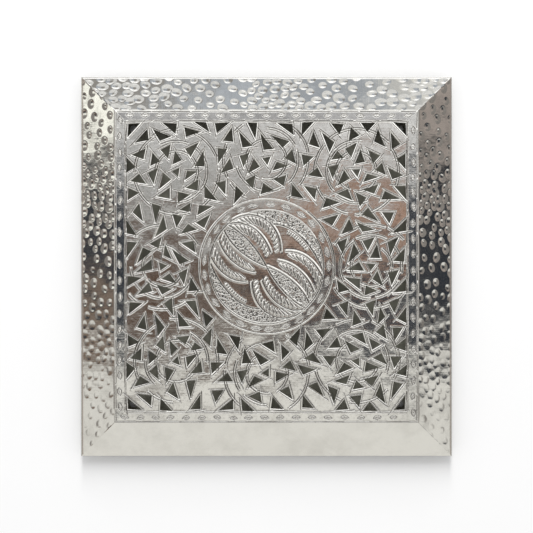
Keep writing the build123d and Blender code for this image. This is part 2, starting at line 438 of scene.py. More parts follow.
def inside_outline(outline, x, y):
    """True where a place lies inside a closed outline, by counting crossings."""
    inside = np.zeros(np.broadcast(x, y).shape, bool)
    for (x0, y0), (x1, y1) in zip(outline, np.roll(outline, -1, axis=0)):
        if y0 != y1:
            crosses = (y0 > y) != (y1 > y)
            inside ^= crosses & (x < (x1 - x0) * (y - y0) / (y1 - y0) + x0)
    return inside


# ---------------------------------------------------------------- the panel's relief

def hole_distance(relief):
    """Distance from each grid place to the nearest piercing: zero inside one, at most 9."""
    distance = np.full(relief.height.shape, 9.0)
    for hole in HOLES:
        rows, columns, x, y = relief.window(hole.min(axis=0) - 9, hole.max(axis=0) + 9)
        sides = [segment_reach(x, y, hole[k], hole[(k + 1) % 3])[0] for k in range(3)]
        nearest = np.minimum.reduce(sides)
        nearest = np.where(inside_outline(hole, x, y), 0, nearest)
        distance[rows, columns] = np.minimum(distance[rows, columns], nearest)
    return distance


def chase_straps(relief, chance):
    """A line beside each side of each piercing, which runs on past one corner like a leaf's edge."""
    depth = sizes("chase_depth")
    for hole in HOLES:
        for k in range(3):
            first, last = hole[k], hole[(k + 1) % 3]
            along = (last - first) / np.hypot(*(last - first))
            outward = np.array([along[1], -along[0]])
            offset = chance.uniform(0.85, 1.10)
            overrun = chance.uniform(0.4, 1.6), chance.uniform(1.5, 6.0)
            lean = chance.uniform(-0.25, 0.35, 2)
            start = first - along * overrun[0] + outward * (offset + lean[0])
            end = last + along * overrun[1] + outward * (offset + lean[1])
            middle = (start + end) / 2 + outward * chance.uniform(-0.1, 0.35)
            path = bow(start, (start + 2 * middle) / 3, (end + 2 * middle) / 3, end, 7)
            relief.chase(path, depth * chance.uniform(0.6, 1.05), LINE_WIDTH, fade=1.4)


def chase_whorls(relief, field, chance):
    """Long chased arcs round each whorl, in stretches with small breaks.

    Each is a line, a ridge inside it and a fainter second line inside that.
    """
    radius = sizes("medallion_radius")
    depth = sizes("chase_depth")
    corner = field - WHORL_INSET
    side = (field + radius) / 2
    centres = [(sx * corner[0], sy * corner[1]) for sx in (-1, 1) for sy in (-1, 1)]
    centres += [(0, side[1]), (0, -side[1]), (-side[0], 0), (side[0], 0)]
    for centre in centres:
        for ring in WHORL_RINGS:
            angle = chance.uniform(0, 2 * np.pi)
            stop = angle + 2 * np.pi
            while angle < stop:
                sweep = chance.uniform(0.6, 1.3) * 30 / ring
                path = arc(centre, ring + chance.uniform(-0.8, 0.8), angle, angle + sweep)
                angle += sweep + chance.uniform(0.05, 0.3)
                within = (np.abs(path) < field - 1.5).all(axis=1)
                within &= np.hypot(*path.T) > radius + 1.5
                likely = 0.96 if ring == WHORL_RINGS[-1] else 0.65
                if within.sum() > 4 and chance.uniform() < likely:
                    path = path[within]
                    relief.chase(path, 1.1 * depth, 0.62, fade=2.0)
                    ridge, inner = (centre + (path - centre) * (1 - inwards / ring)
                                    for inwards in (0.85, 1.7))
                    relief.raised_line(ridge, *WHORL_RIDGE)
                    relief.chase(inner, 0.8 * depth, 0.58, fade=2.0)


def broken_line(relief, first, last, chance, depth):
    """A long ruled line chased in short strokes that do not quite meet."""
    first, last = np.array(first, float), np.array(last, float)
    length = np.hypot(*(last - first))
    along = (last - first) / length
    across = np.array([-along[1], along[0]])
    place = 0.0
    while place < length - 3:
        stroke = min(chance.uniform(13, 22), length - place)
        slip = chance.uniform(-0.22, 0.22, 2)
        start = first + along * place + across * slip[0]
        end = first + along * (place + stroke) + across * slip[1]
        relief.chase([start, end], depth * chance.uniform(0.75, 1.1), LINE_WIDTH, fade=1.2)
        place += stroke + chance.uniform(-0.6, 0.9)


def mark_leaf_band(relief, field, chance):
    """The plain band: ruled lines along both edges and a row of leaf punch marks between them."""
    band = sizes("leaf_band_width")
    depth = sizes("chase_depth")
    for turn, (half_run, reach) in enumerate((FOLD, FOLD[::-1], FOLD, FOLD[::-1])):
        spin = turn * np.pi / 2
        rotate = np.array([[np.cos(spin), -np.sin(spin)], [np.sin(spin), np.cos(spin)]])
        inner = reach - band
        inner_run = half_run - band
        for level, run in ((inner, inner_run), (inner + SECOND_LINE, inner_run),
                           (reach - 0.9, half_run - 1)):
            ends = rotate @ [-run, -level], rotate @ [run, -level]
            broken_line(relief, ends[0], ends[1], chance, depth)
        middle = inner + 0.5 * SECOND_LINE
        ends = [rotate @ [-inner_run, -middle], rotate @ [inner_run, -middle]]
        relief.raised_line(ends, *BAND_RIDGE)
        place = -half_run + 8
        while place < half_run - 8:
            centre = rotate @ [place, -(inner + 0.56 * band) + chance.uniform(-0.4, 0.4)]
            angle = spin + chance.uniform(-0.22, 0.22)
            length, width = (chance.uniform(*span) for span in BAND_LEAF)
            relief.leaf_punch(centre, angle, length, width, 0.24)
            place += chance.uniform(11.6, 13.6)


def mark_medallion_ring(relief, chance):
    """Two double circles with leaf punch marks between them."""
    radius = sizes("medallion_radius")
    inner = radius - sizes("medallion_ring")
    depth = sizes("chase_depth")
    circle = 2 * np.pi
    for ring, strength in ((radius, 1.25), (radius - 1.3, 0.7), (inner, 1.15), (inner - 1.1, 0.7)):
        start = chance.uniform(0, circle)
        while start < 3 * np.pi:
            sweep = chance.uniform(0.4, 0.8)
            path = arc((0, 0), ring + chance.uniform(-0.12, 0.12), start, start + sweep)
            relief.chase(path, strength * depth, RING_LINE_WIDTH, fade=1.0)
            start += sweep
            if start > circle + 0.5:
                break
    for ring in (radius - 0.65, inner - 0.6):
        relief.raised_line(arc((0, 0), ring, 0, circle), *RING_RIDGE)
    middle = (radius + inner) / 2 - 0.4
    for leaf in range(RING_LEAVES):
        angle = circle * (leaf + chance.uniform(-0.12, 0.12)) / RING_LEAVES
        centre = middle * np.array([np.cos(angle), np.sin(angle)])
        turn = angle + np.pi / 2 + chance.uniform(-0.2, 0.2)
        length, width = (chance.uniform(*span) for span in RING_LEAF)
        relief.leaf_punch(centre, turn, length, width, 0.22)


def feather(relief, spine, lean, first_length, last_length, count, chance):
    """Short strokes down the right side of a spine, all leaning the same way from it.

    Each is a ridge with a chased line beside it. Their length runs evenly from first to last.
    """
    places = np.linspace(0.06, 0.97, count) * (len(spine) - 1)
    index = np.minimum(places.astype(int), len(spine) - 2)
    share = (places - index)[:, None]
    points = spine[index] * (1 - share) + spine[index + 1] * share
    along = spine[index + 1] - spine[index]
    along /= np.hypot(*along.T)[:, None]
    for k in range(count):
        turn = -(lean + chance.uniform(-0.06, 0.06))
        c, s = np.cos(turn), np.sin(turn)
        aim = np.array([along[k, 0] * c - along[k, 1] * s, along[k, 0] * s + along[k, 1] * c])
        across = np.array([along[k, 1], -along[k, 0]])
        length = first_length + (last_length - first_length) * k / (count - 1)
        start = points[k] + across * 1.5
        bent = start + aim * length * 0.5 + across * 0.25
        stroke = bow(start, bent, bent, start + aim * length, 6)
        relief.raised_line(stroke, *STROKE_RIDGE)
        aside = np.array([aim[1], -aim[0]])
        relief.chase(stroke + 1.15 * aside, 0.20, LINE_WIDTH, fade=1.2)


def medallion_half():
    """One half of the medallion's drawing, as named curves in millimetres from its centre."""
    return {
        "leaf_upper": bow((0, 0), (-5, 10), (-15, 25), (-31, 33.2)),
        "leaf_lower": bow((0, 0), (-11, 4), (-27, 13), (-34, 29.5)),
        "frond_low": bow((-30.5, 33.8), (-14, 38.5), (-1, 25), (3.4, 10.5)),
        "frond_high": bow((-27, 36.6), (-11, 48.5), (12, 36), (11.2, 11.5)),
        "wing_high": bow((15, 11.6), (28, 13), (38, 5), (44.3, -8)),
        "wing_low": bow((8.6, 4.4), (20, 3.5), (33, -6), (37.8, -21)),
        "crescent": bow((5, 33.6), (20, 34.5), (37, 18), (44.6, -3)),
    }


def mark_medallion(relief, chance):
    """The medallion's drawing: every curve is cut twice, the second time turned half round."""
    inner = sizes("medallion_radius") - sizes("medallion_ring") - 1.2
    depth = 1.15 * sizes("chase_depth")
    x, y = relief.grid()
    within = np.hypot(x, y) < inner
    stippled = np.zeros_like(within)
    for half in (1, -1):
        curves = {name: half * curve for name, curve in medallion_half().items()}
        for curve in curves.values():
            relief.chase(curve, depth, CURVE_LINE_WIDTH, fade=1.5)
            run = np.gradient(curve, axis=0)
            across = np.column_stack([-run[:, 1], run[:, 0]]) / np.hypot(*run.T)[:, None]
            relief.raised_line(curve + across, *CURVE_RIDGE)
        lens = np.concatenate([curves["leaf_upper"], curves["leaf_lower"][::-1]])
        rim_start = half * np.array([-8.0, 44.3])
        first = np.arctan2(rim_start[1], rim_start[0])
        rim = arc((0, 0), inner, first, first - 1.90)
        upper = curves["frond_high"][8:14]
        crescent = np.concatenate([rim, curves["crescent"][::-1], upper[::-1]])
        stippled |= inside_outline(0.93 * lens + 0.07 * lens.mean(axis=0), x, y)
        stippled |= inside_outline(crescent, x, y) & within
        curves["fringe"] = curves["crescent"][7:18]
        for name, (lean, first_length, last_length, strokes) in FEATHERS.items():
            feather(relief, curves[name], lean, first_length, last_length, strokes, chance)
    relief.stipple(stippled, 0.12, 41)


def panel_relief():
    """The whole panel: uneven hand-worked sheet, fallen band, rims of the piercings and chasing."""
    relief = Relief(FOLD[0] + 1, FOLD[1] + 1, PANEL_GRID)
    shape, step = relief.height.shape, relief.step
    x, y = relief.grid()
    field = FOLD - sizes("leaf_band_width")
    from_fold = np.minimum(FOLD[0] - np.abs(x), FOLD[1] - np.abs(y))
    for seed, (height, wavelength) in enumerate(SHEET_WAVES, 1):
        relief.height += height * smooth_noise(shape, step, wavelength, seed)
    plain = -sizes("band_fall") * np.clip(1 - from_fold / sizes("leaf_band_width"), 0, 1)
    relief.height += plain
    relief.edge_distance = hole_distance(relief)
    rims = -RIM_DROP * np.exp(-((relief.edge_distance / RIM_WIDTH) ** 2))
    chance = np.random.default_rng(8)
    chase_straps(relief, chance)
    chase_whorls(relief, field, chance)
    mark_leaf_band(relief, field, chance)
    mark_medallion_ring(relief, chance)
    mark_medallion(relief, chance)
    relief.height = np.minimum(relief.height, 0.9 * sizes("relief_allowance"))
    near_fold = np.clip(from_fold / FOLD_EASE, 0, 1)
    relief.height = plain + (relief.height - plain) * near_fold - FOLD_DROP * (1 - near_fold) ** 2
    relief.finish(rims)
    return relief


# ---------------------------------------------------------------- meshes

def add_piece(name, places, triangles, corner_normals, material, nodes, hollow_shade=None):
    """A closed mesh of triangles, given in millimetres, that stands for some CAD nodes.

    hollow is a mask over the points that sets painted shade: one at the bottom of a cut line, zero on plain
    sheet.
    """
    mesh = bpy.data.meshes.new(name)
    count = len(triangles)
    mesh.vertices.add(len(places))
    mesh.vertices.foreach_set("co", (places * MM).astype(np.float32).ravel())
    mesh.loops.add(3 * count)
    mesh.loops.foreach_set("vertex_index", triangles.astype(np.int32).ravel())
    mesh.polygons.add(count)
    mesh.polygons.foreach_set("loop_start", np.arange(0, 3 * count, 3, dtype=np.int32))
    mesh.polygons.foreach_set("use_smooth", np.ones(count, bool))
    mesh.update(calc_edges=True)
    lengths = np.linalg.norm(corner_normals, axis=1, keepdims=True)
    mesh.normals_split_custom_set((corner_normals / np.maximum(lengths, 1e-12)).tolist())
    if hollow_shade is not None:
        mask = mesh.attributes.new("hollow_shade", "FLOAT", "POINT")
        mask.data.foreach_set("value", hollow_shade.astype(np.float32))
    mesh.materials.append(material)
    piece = bpy.data.objects.new(name, mesh)
    bpy.context.scene.collection.objects.link(piece)
    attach(piece, "root")
    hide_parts(*nodes)
    return piece


def face_normals(places, triangles):
    """Normal of each triangle, repeated for its three corners."""
    a, b, c = places[triangles[:, 0]], places[triangles[:, 1]], places[triangles[:, 2]]
    return np.repeat(np.cross(b - a, c - a), 3, axis=0)


def even_points(low, high, spacing):
    """Points in rows over a box, every other row shifted by half a step, and which are the sparse few.

    The sparse points are every third one of every third row.
    """
    rows = np.arange(low[1], high[1], spacing * 0.866)
    columns = np.arange(low[0], high[0], spacing)
    x, y = np.meshgrid(columns, rows)
    row, column = np.arange(len(rows))[:, None], np.arange(len(columns))[None, :]
    x = x + (row % 2) * spacing / 2
    sparse = (row % 3 == 0) & ((column + row // 3) % 3 == 0)
    return np.stack([x.ravel(), y.ravel()], 1), sparse.ravel()


def triangulated(loops, points):
    """Triangles that fill the first loop, leave out the others, and use the points in between."""
    all_points = np.concatenate(loops + [points])
    owners = np.concatenate([np.full(len(loop), k) for k, loop in enumerate(loops)]
                            + [np.full(len(points), -1)])
    edges = []
    start = 0
    for loop in loops:
        index = np.arange(start, start + len(loop))
        edges += np.stack([index, np.roll(index, -1)], 1).tolist()
        start += len(loop)
    found = geometry.delaunay_2d_cdt([Vector(p) for p in all_points.tolist()], edges, [], 1, 1e-6)
    source = np.array([original[0] for original in found[3]])
    triangles = source[np.array([face for face in found[2] if len(face) == 3])]
    own = owners[triangles]
    in_hole = (own[:, 0] > 0) & (own[:, 0] == own[:, 1]) & (own[:, 0] == own[:, 2])
    triangles = triangles[~in_hole]
    a, b, c = (all_points[triangles[:, k]] for k in range(3))
    clockwise = (b[:, 0] - a[:, 0]) * (c[:, 1] - a[:, 1]) < (c[:, 0] - a[:, 0]) * (b[:, 1] - a[:, 1])
    triangles[clockwise] = triangles[clockwise][:, ::-1]
    return all_points, triangles


def sheet_piece(name, outline, holes, keep, relief, material, coarser=1.0):
    """A part of the panel sheet: worked top face, plain underside and upright walls.

    The top is z = top - allowance + relief(x, y), on points that fill the outline at an even
    spacing; the underside is flat at the sheet's lower face; walls join the two all round.
    """
    spacing = coarser * sizes("panel_spacing")
    loops = [outline] + [divided(hole, HOLE_EDGE_SPACING) for hole in holes]
    low, high = outline.min(axis=0), outline.max(axis=0)
    points, sparse = even_points(low, high, spacing)
    points = points[sparse | relief.at(relief.detailed, points[:, 0], points[:, 1])]
    points = points[keep(points[:, 0], points[:, 1], 0.5 * spacing)]
    points = points[relief.at(relief.edge_distance, points[:, 0], points[:, 1]) > 0.5 * spacing]
    plan, top = triangulated(loops, points)
    height, slope_x, slope_y = relief.read(plan[:, 0], plan[:, 1])
    level = PANEL_TOP - sizes("relief_allowance")
    upper = np.column_stack([plan, level + height])
    coarse = even_points(low, high, UNDERSIDE_SPACING)[0]
    coarse = coarse[keep(coarse[:, 0], coarse[:, 1], 2.0)]
    coarse = coarse[relief.at(relief.edge_distance, coarse[:, 0], coarse[:, 1]) > 1.5]
    under_plan, under = triangulated(loops, coarse)
    lower = np.column_stack([under_plan, np.full(len(under_plan), PANEL_BOTTOM)])
    walls = []
    start = 0
    for k, loop in enumerate(loops):
        index = np.arange(start, start + len(loop))
        following = np.roll(index, -1)
        if k:
            index, following = following, index
        below, below_next = index + len(upper), following + len(upper)
        walls.append(np.stack([index, below, below_next], 1))
        walls.append(np.stack([index, below_next, following], 1))
        start += len(loop)
    walls = np.concatenate(walls)
    if signed_area(outline) < 0:
        raise RuntimeError(f"{name}: the outline runs clockwise")
    places = np.concatenate([upper, lower])
    under = under[:, ::-1] + len(upper)
    normals = np.column_stack([-slope_x, -slope_y, np.ones(len(plan))])
    corner_normals = np.concatenate([normals[top.ravel()], face_normals(places, under),
                                     face_normals(places, walls)])
    triangles = np.concatenate([top, under, walls])
    # The painted shade mask of the grooves and pits, carried to the mesh points.
    hollow_shade = relief.at(relief.hollow_shade, plan[:, 0], plan[:, 1])
    hollow_shade = np.concatenate([hollow_shade, np.zeros(len(lower))])
    return add_piece(name, places, triangles, corner_normals, material, ["pierced_panel"],
                     hollow_shade)


def signed_area(outline):
    """Area inside a closed outline: above zero when it runs anticlockwise."""
    x, y = outline.T
    return 0.5 * np.sum(x * np.roll(y, -1) - np.roll(x, -1) * y)


# ---------------------------------------------------------------- seams between the panel's pieces

def metal_seam(relief, start, stop, along_y):
    """A line through solid metal from the medallion to the field's edge, well clear of the holes.

    It steps outwards one millimetre at a time and keeps the cheapest way to each place, where
    a place costs the inverse square of its distance to a piercing.
    """
    step = 1.0 if stop > start else -1.0
    outward = np.arange(start, stop, step)
    outward = np.append(outward, stop)
    sideways = np.arange(-34.0, 35.0)
    far, near = np.meshgrid(outward, sideways, indexing="ij")
    places = np.stack([near.ravel(), far.ravel()] if along_y else [far.ravel(), near.ravel()], 1)
    clear = relief.at(relief.edge_distance, *places.T).reshape(far.shape)
    price = 1 / np.maximum(clear - 0.6, 0.02) ** 2 + 0.002 * np.abs(near)
    total = np.full(price.shape, 1e9)
    total[0, len(sideways) // 2] = 0
    came = np.zeros(price.shape, int)
    moves = (-2, -1, 0, 1, 2)
    for row in range(1, len(outward)):
        shifted = np.full((len(moves), len(sideways)), 1e9)
        for k, move in enumerate(moves):
            source = np.arange(len(sideways)) - move
            valid = (source >= 0) & (source < len(sideways))
            shifted[k, valid] = total[row - 1, source[valid]] + 0.3 * abs(move)
        best = shifted.argmin(axis=0)
        total[row] = shifted[best, np.arange(len(sideways))] + price[row]
        came[row] = np.array(moves)[best]
    column = int(total[-1].argmin())
    path = []
    for row in range(len(outward) - 1, -1, -1):
        path.append((outward[row], sideways[column]))
        column -= came[row, column]
    path = np.array(path[::-1])
    return path[:, ::-1] if along_y else path


# ---------------------------------------------------------------- the panel's pieces

SIDES = ("right", "rear", "left", "front")
# Materials by name, the shared node group, and how many piercings the quarters have cut.
STORE = {}


def joined(paths):
    """Closed anticlockwise outline of paths laid end to end."""
    outline = np.concatenate([path[:-1] for path in paths])
    return outline if signed_area(outline) > 0 else outline[::-1]


def lattice_reach():
    """Half sizes of the pierced pieces: they end in the second ruled line of the leaf band."""
    return FOLD - sizes("leaf_band_width") + SECOND_LINE


def panel_boundaries(relief):
    """Lines between the panel's pieces, worked out once so that neighbours share their points."""
    spacing = SEAM_SPACING
    radius = sizes("medallion_radius")
    field = lattice_reach()
    lines = {"quarter": arc((0, 0), radius, 0, np.pi / 2, spacing)}
    for side, name in enumerate(SIDES):
        axis, sign = side % 2, 1 if side < 2 else -1
        seam = metal_seam(relief, sign * radius, sign * field[axis], along_y=axis == 1)
        lines[name + "_seam"] = stretched(seam, spacing)
        ends = [np.zeros(2), np.zeros(2)]
        for end, run in zip(ends, (-field[1 - axis], field[1 - axis])):
            end[axis], end[1 - axis] = sign * field[axis], run
        lines[name + "_before"] = stretched(np.array([ends[0], seam[-1]]), spacing)
        lines[name + "_after"] = stretched(np.array([seam[-1], ends[1]]), spacing)
    for sx in (-1, 1):
        for sy in (-1, 1):
            mitre = np.array([field * (sx, sy), FOLD * (sx, sy)])
            lines[f"mitre_{sx}_{sy}"] = stretched(mitre, spacing)
    return lines


def lattice_piece(sx, sy, relief, lines, material):
    """One pierced quarter of the field, from the medallion out to the leaf band."""
    level, upright = ("right" if sx > 0 else "left"), ("rear" if sy > 0 else "front")
    radius = sizes("medallion_radius")
    field = lattice_reach()
    level_seam, upright_seam = lines[level + "_seam"], lines[upright + "_seam"]
    up = lines[level + "_after"] if sy > 0 else lines[level + "_before"][::-1]
    back = lines[upright + "_after"][::-1] if sx > 0 else lines[upright + "_before"]
    quarter = (lines["quarter"] * (sx, sy))[::-1]
    outline = joined([level_seam, up, back, upright_seam[::-1], quarter])

    def keep(x, y, margin):
        level_y = np.interp(sx * x, sx * level_seam[:, 0], level_seam[:, 1])
        upright_x = np.interp(sy * y, sy * upright_seam[:, 1], upright_seam[:, 0])
        inside = (np.hypot(x, y) > radius + margin)
        inside &= (sx * x < field[0] - margin) & (sy * y < field[1] - margin)
        return inside & (sy * (y - level_y) > 2.3 * margin) & (sx * (x - upright_x) > 2.3 * margin)

    holes = [hole for hole in HOLES if keep(*hole.mean(axis=0), 0.0)]
    STORE["holes_cut"] = STORE.get("holes_cut", 0) + len(holes)
    return sheet_piece(f"panel_lattice_{upright}_{level}", outline, holes, keep, relief, material)


def medallion_piece(relief, lines, material):
    """The unpierced disc in the middle of the panel."""
    quarter = lines["quarter"]
    outline = joined([quarter, quarter[::-1] * (-1, 1), quarter * (-1, -1), quarter[::-1] * (1, -1)])
    radius = sizes("medallion_radius")
    return sheet_piece("panel_medallion", outline, [],
                       lambda x, y, margin: np.hypot(x, y) < radius - margin, relief, material, 1.12)


def band_piece(side, relief, lines, material):
    """The leaf band along one side, mitred at both ends."""
    name, axis, sign = SIDES[side], side % 2, 1 if side < 2 else -1
    field = lattice_reach()
    corners = []
    for run in (-1, 1):
        pair = (sign, run) if axis == 0 else (run, sign)
        corners.append((lines["mitre_%d_%d" % pair], FOLD * pair))
    outer = stretched(np.array([corners[1][1], corners[0][1]]), SEAM_SPACING)
    outline = joined([np.concatenate([lines[name + "_before"], lines[name + "_after"][1:]]),
                      corners[1][0], outer, corners[0][0][::-1]])

    def keep(x, y, margin):
        out, run = (x, y) if axis == 0 else (y, x)
        depth = FOLD[axis] - sign * out
        inside = (depth > margin) & (sign * out > field[axis] + margin)
        return inside & (FOLD[1 - axis] - np.abs(run) > depth + 1.5 * margin)

    return sheet_piece(f"panel_band_{name}", outline, [], keep, relief, material)


# ---------------------------------------------------------------- borders

def hammered_relief(reach, slope_length, seed, growth, frontward):
    """Hammer marks over the slope: each is a shallow bowl, h = D (q - 1) inside an ellipse q < 1.

    Marks are thrown at random and kept when clear of the earlier ones, closer together in some
    stretches than in others. The y axis runs down the border from the fold. growth enlarges the
    marks; frontward is 1 or -1 where they get shallower towards that end of x, and 0 elsewhere.
    """
    relief = Relief(reach, slope_length + 3, HAMMER_GRID)
    chance = np.random.default_rng(seed)
    half_mark = 0.5 * growth * sizes("hammer_mark")
    throws = chance.uniform([-reach + 1, 1.6], [reach - 1, slope_length - 1.8], (14000, 2))
    phase = chance.uniform(0, 6)
    clearance = half_mark * (1.90 - 0.9 * (growth - 1) + 0.34 * np.sin(throws[:, 0] / 21 + phase))
    centres = throws[:1]
    for throw, clear in zip(throws, clearance):
        if np.hypot(*(centres - throw).T).min() > clear:
            centres = np.vstack([centres, throw])
    marks = np.zeros_like(relief.height)
    for centre in centres:
        long_axis = half_mark * chance.uniform(0.74, 1.14)
        short_axis = long_axis * chance.uniform(0.72, 0.92)
        angle = chance.normal(0.0, 0.35)
        depth = growth * sizes("hammer_depth") * chance.uniform(0.7, 1.15)
        depth *= np.clip(1 - 0.7 * frontward * centre[0] / 55, 0.26, 1) if frontward else 1
        rows, columns, x, y = relief.window(centre - long_axis, centre + long_axis)
        u, v = own_axes(x, y, centre, angle)
        bowl = depth * ((u / long_axis) ** 2 + (v / short_axis) ** 2 - 1)
        marks[rows, columns] = np.minimum(marks[rows, columns], bowl)
    relief.height += soften(marks, HAMMER_GRID, 0.22)
    relief.height += 0.040 * smooth_noise(marks.shape, HAMMER_GRID, 24.0, seed + 1)
    relief.height += 0.003 * smooth_noise(marks.shape, HAMMER_GRID, 3.5, seed + 2)
    relief.height = np.minimum(relief.height, 0.05) - 0.05
    relief.finish()
    return relief


def bend(centre, radius, first, last, spacing):
    """Rows round a bend, with outward normals, for angles from first to last."""
    count = max(int(abs(last - first) * radius / spacing), 5)
    angles = np.linspace(first, last, count + 1)
    normal = np.stack([np.cos(angles), np.sin(angles)], 1)
    return np.array(centre) + radius * normal, normal


def straight(first, last, normal, spacing):
    """Rows along a straight stretch of the border's section."""
    first, last = np.array(first, float), np.array(last, float)
    count = max(int(np.hypot(*(last - first)) / spacing), 1)
    share = np.linspace(0, 1, count + 1)[:, None]
    return first + share * (last - first), np.tile(np.array(normal, float), (count + 1, 1))


def border_section(reach, fold, inset, spacing):
    """Section of a border, from the panel flange round to the base flange, set in by a distance.

    Rows are (distance from the middle, height), with outward normals and the path length from
    the fold, which is below zero on the panel flange.
    """
    fold_level = PANEL_TOP - sizes("relief_allowance") - sizes("band_fall")
    fall = np.arctan2(fold_level - SHOULDER, reach - fold)
    lean = np.array([np.sin(fall), np.cos(fall)])
    downhill = np.array([np.cos(fall), -np.sin(fall)])
    radius, low_radius = sizes("bend_radius"), LOW_BEND_RADIUS
    centre_w = reach - radius
    centre_z = fold_level - np.tan(fall) * (centre_w + radius * lean[0] - fold) - radius * lean[1]
    centre = np.array([centre_w, centre_z])
    low = BORDER_BOTTOM + low_radius
    low_w = reach - low_radius
    flange = PANEL_BOTTOM - inset - FLANGE_CLEARANCE
    base = BORDER_BOTTOM + inset
    start = np.array([fold, fold_level]) + inset * (downhill - lean)
    stretches = [
        straight((fold - PANEL_FLANGE, flange), (fold - 0.02, flange), (0, 1), 4.0),
        straight(start, centre + (radius - inset) * lean, lean, spacing),
        bend(centre, radius - inset, np.pi / 2 - fall, 0, spacing),
        straight((reach - inset, centre_z), (reach - inset, low), (1, 0), 1.0),
        bend((low_w, low), low_radius - inset, 0, -np.pi / 2, spacing),
        straight((low_w, base), (reach - BASE_FLANGE, base), (0, -1), 4.0),
    ]
    rows = np.concatenate([stretch[0] for stretch in stretches])
    normals = np.concatenate([stretch[1] for stretch in stretches])
    steps = np.hypot(*np.diff(rows, axis=0).T)
    lengths = np.concatenate(([0.0], np.cumsum(steps)))
    lengths -= lengths[len(stretches[0][0])]
    fresh = np.concatenate(([True], steps > 1e-6))
    return rows[fresh], normals[fresh], lengths[fresh]


def grid_triangles(rows, columns, offset):
    """Two triangles for each cell of a grid of points stored row by row."""
    index = offset + np.arange(rows * columns).reshape(rows, columns)
    a, b = index[:-1, :-1].ravel(), index[:-1, 1:].ravel()
    c, d = index[1:, 1:].ravel(), index[1:, :-1].ravel()
    return np.concatenate([np.stack([a, d, c], 1), np.stack([a, c, b], 1)])


def grid_normals(places):
    """Normals of a grid of places: the cross product of its two tangents at each point."""
    along = np.gradient(places, axis=1)
    down = np.gradient(places, axis=0)
    normal = np.cross(down, along)
    return normal / np.maximum(np.linalg.norm(normal, axis=-1, keepdims=True), 1e-12)


def border_piece(name, side, turn, growth, frontward, material):
    """One hammered border: its section carried along the side and mitred, as a closed shell.

    A row at distance w from the middle runs each way to other reach - (own reach - w) - gap.
    """
    reach, other = OUTER[side], OUTER[1 - side]
    spacing = sizes("border_spacing")
    outer_rows, outer_normals, lengths = border_section(reach, FOLD[side], 0.0, spacing)
    inner_rows, inner_normals, _ = border_section(reach, FOLD[side], BORDER_SHEET, 3.0)
    slope_length = np.hypot(reach - FOLD[side], BORDER_WIDTH * SLOPE)
    relief = hammered_relief(other + 1, slope_length, 60 + 10 * turn, growth, frontward)
    columns = int(2 * other / spacing) + 1
    u = np.linspace(-1, 1, columns)

    def carried(rows, normals):
        run = other - (reach - rows[:, :1]) - MITRE_GAP
        x = run * u[None, :]
        y, z = (np.repeat(rows[:, k:k + 1], columns, axis=1) for k in (0, 1))
        normal = np.stack([np.zeros_like(x), np.repeat(-normals[:, :1], columns, axis=1),
                           np.repeat(normals[:, 1:], columns, axis=1)], -1)
        return np.stack([x, -y, z], -1), normal, run - np.abs(x)

    outer, normal, to_mitre = carried(outer_rows, outer_normals)
    inner, inner_normal, _ = carried(inner_rows, -inner_normals)
    down_slope = np.repeat(lengths[:, None], columns, axis=1)
    height = relief.read(outer[..., 0], down_slope)[0]
    height *= np.clip(down_slope / 0.8, 0, 1) * np.clip((slope_length + 1.5 - down_slope) / 3, 0, 1)
    height *= np.clip(0.35 + to_mitre / 1.5, 0, 1)
    height -= 0.05 * np.exp(-((to_mitre / 0.6) ** 2)) * (down_slope > 0)
    height -= FOLD_DROP * np.clip(1 - np.abs(down_slope) / FOLD_EASE, 0, 1) ** 2
    outer = outer + height[..., None] * normal
    fold_row = int(np.searchsorted(lengths, 0.0))
    normal[fold_row:] = grid_normals(outer[fold_row:])
    n_outer, n_inner = len(outer_rows), len(inner_rows)
    places = np.concatenate([outer.reshape(-1, 3), inner.reshape(-1, 3)])
    outside = grid_triangles(n_outer, columns, 0)
    inside = grid_triangles(n_inner, columns, n_outer * columns)[:, ::-1]
    first_outer = np.arange(columns)
    last_outer = (n_outer - 1) * columns + first_outer
    first_inner = n_outer * columns + first_outer
    last_inner = first_inner + (n_inner - 1) * columns
    flat = []
    for a, b in ((first_inner, first_outer), (last_outer, last_inner)):
        flat += [np.stack([a[:-1], b[:-1], b[1:]], 1), np.stack([a[:-1], b[1:], a[1:]], 1)]
    section = np.concatenate([outer_rows, inner_rows[::-1]])
    _, cap = triangulated([section], np.empty((0, 2)))
    ring = np.concatenate([np.arange(n_outer), n_outer + np.arange(n_inner)[::-1]])
    start_cap = ring[cap] * columns
    flat = np.concatenate(flat + [start_cap, start_cap[:, ::-1] + columns - 1])
    vertex_normals = np.concatenate([normal.reshape(-1, 3), inner_normal.reshape(-1, 3)])
    smooth = np.concatenate([outside, inside])
    corner_normals = np.concatenate([vertex_normals[smooth.ravel()], face_normals(places, flat)])
    spin = turn * np.pi / 2
    c, s = round(np.cos(spin)), round(np.sin(spin))
    rotate = np.array([[c, s, 0], [-s, c, 0], [0, 0, 1]], float)
    return add_piece(f"{name}_hammered", places @ rotate, np.concatenate([smooth, flat]),
                     corner_normals @ rotate, material, [name])


# ---------------------------------------------------------------- turned feet

